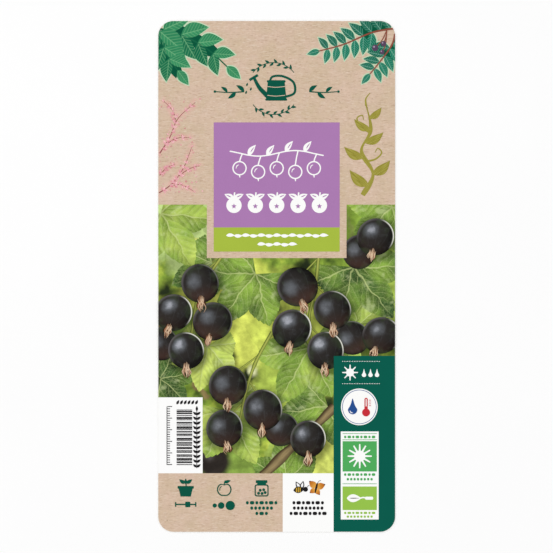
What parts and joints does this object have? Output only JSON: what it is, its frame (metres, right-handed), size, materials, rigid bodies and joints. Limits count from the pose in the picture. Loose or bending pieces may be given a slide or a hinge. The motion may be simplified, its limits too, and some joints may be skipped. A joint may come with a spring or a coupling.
{
  "type": "printed plant label",
  "caption": "Flat die-cut card label with rounded corners, a kraft header, a title block, a picture of dark berries, a code panel and care symbols.",
  "frame": {"origin": "middle of the back of the card, on the surface that the label lies on", "axes": "+X across the label to the right as it is read, +Y from its foot to its head, +Z out of its printed face"},
  "size_m": [0.102, 0.22, 0.0007],
  "materials": {
    "board": "smooth coated board with a bare off-white edge",
    "kraft_print": "printed kraft paper ground, matt, with fine fibres",
    "picture_print": "printed picture ground, satin varnish",
    "white_print": "white print, satin",
    "dark_green_print": "dark green print, satin",
    "purple_print": "purple print, satin",
    "lime_print": "lime print, satin",
    "corner_leaf_print": "leaf green print with pale veins, satin",
    "pink_print": "pink print, satin",
    "olive_print": "olive print, satin",
    "black_print": "black print, satin",
    "amber_print": "amber print, satin",
    "blue_print": "blue print, satin",
    "red_print": "red print, satin",
    "plate_green_print": "mid green print, satin",
    "plate_lime_print": "light green print, satin",
    "leaf_print": "pictured leaf with veins, satin",
    "stalk_print": "pictured green stalk, satin",
    "wood_print": "pictured woody branch, satin",
    "berry_print": "pictured dark berry, satin"
  },
  "bodies": {
    "root": {"card": "board", "header_ground": "kraft_print", "footer_ground": "kraft_print", "picture_ground": "picture_print", "code_ground": "white_print", "note_ground": "white_print", "title_truss": "white_print", "title_garland": "white_print", "strip_row_upper": "white_print", "strip_row_lower": "white_print", "side_sun": "white_print", "badge": "white_print", "plate": "white_print", "plate_sun": "white_print", "plate_trowel": "white_print", "side_ground": "dark_green_print", "emblem_can": "dark_green_print", "emblem_rule_left": "dark_green_print", "emblem_rule_right": "dark_green_print", "pot_figure": "dark_green_print", "apple_figure": "dark_green_print", "jar_figure": "dark_green_print", "title_block": "purple_print", "title_strip": "lime_print", "corner_sprig_left": "corner_leaf_print", "corner_fern_right": "corner_leaf_print", "pink_sprig_upper": "pink_print", "pink_sprig_lower": "pink_print", "olive_flourish": "olive_print", "code_bars": "black_print", "bee_figure": "black_print", "butterfly_figure": "amber_print", "badge_drop": "blue_print", "badge_thermometer": "red_print", "plate_upper_block": "plate_green_print", "plate_lower_block": "plate_lime_print", "leaf_upper_left": "leaf_print", "leaf_left": "leaf_print", "leaf_right": "leaf_print", "leaf_middle": "leaf_print", "leaf_lower": "leaf_print", "stalk_left": "stalk_print", "stalk_middle": "stalk_print", "stalk_lower": "stalk_print", "branch_lower": "wood_print", "berry_1": "berry_print", "berry_2": "berry_print", "berry_3": "berry_print", "berry_4": "berry_print", "berry_5": "berry_print", "berry_6": "berry_print", "berry_7": "berry_print", "berry_8": "berry_print", "berry_9": "berry_print", "berry_10": "berry_print", "berry_11": "berry_print", "berry_12": "berry_print", "berry_13": "berry_print", "berry_14": "berry_print"}
  },
  "joints": []
}
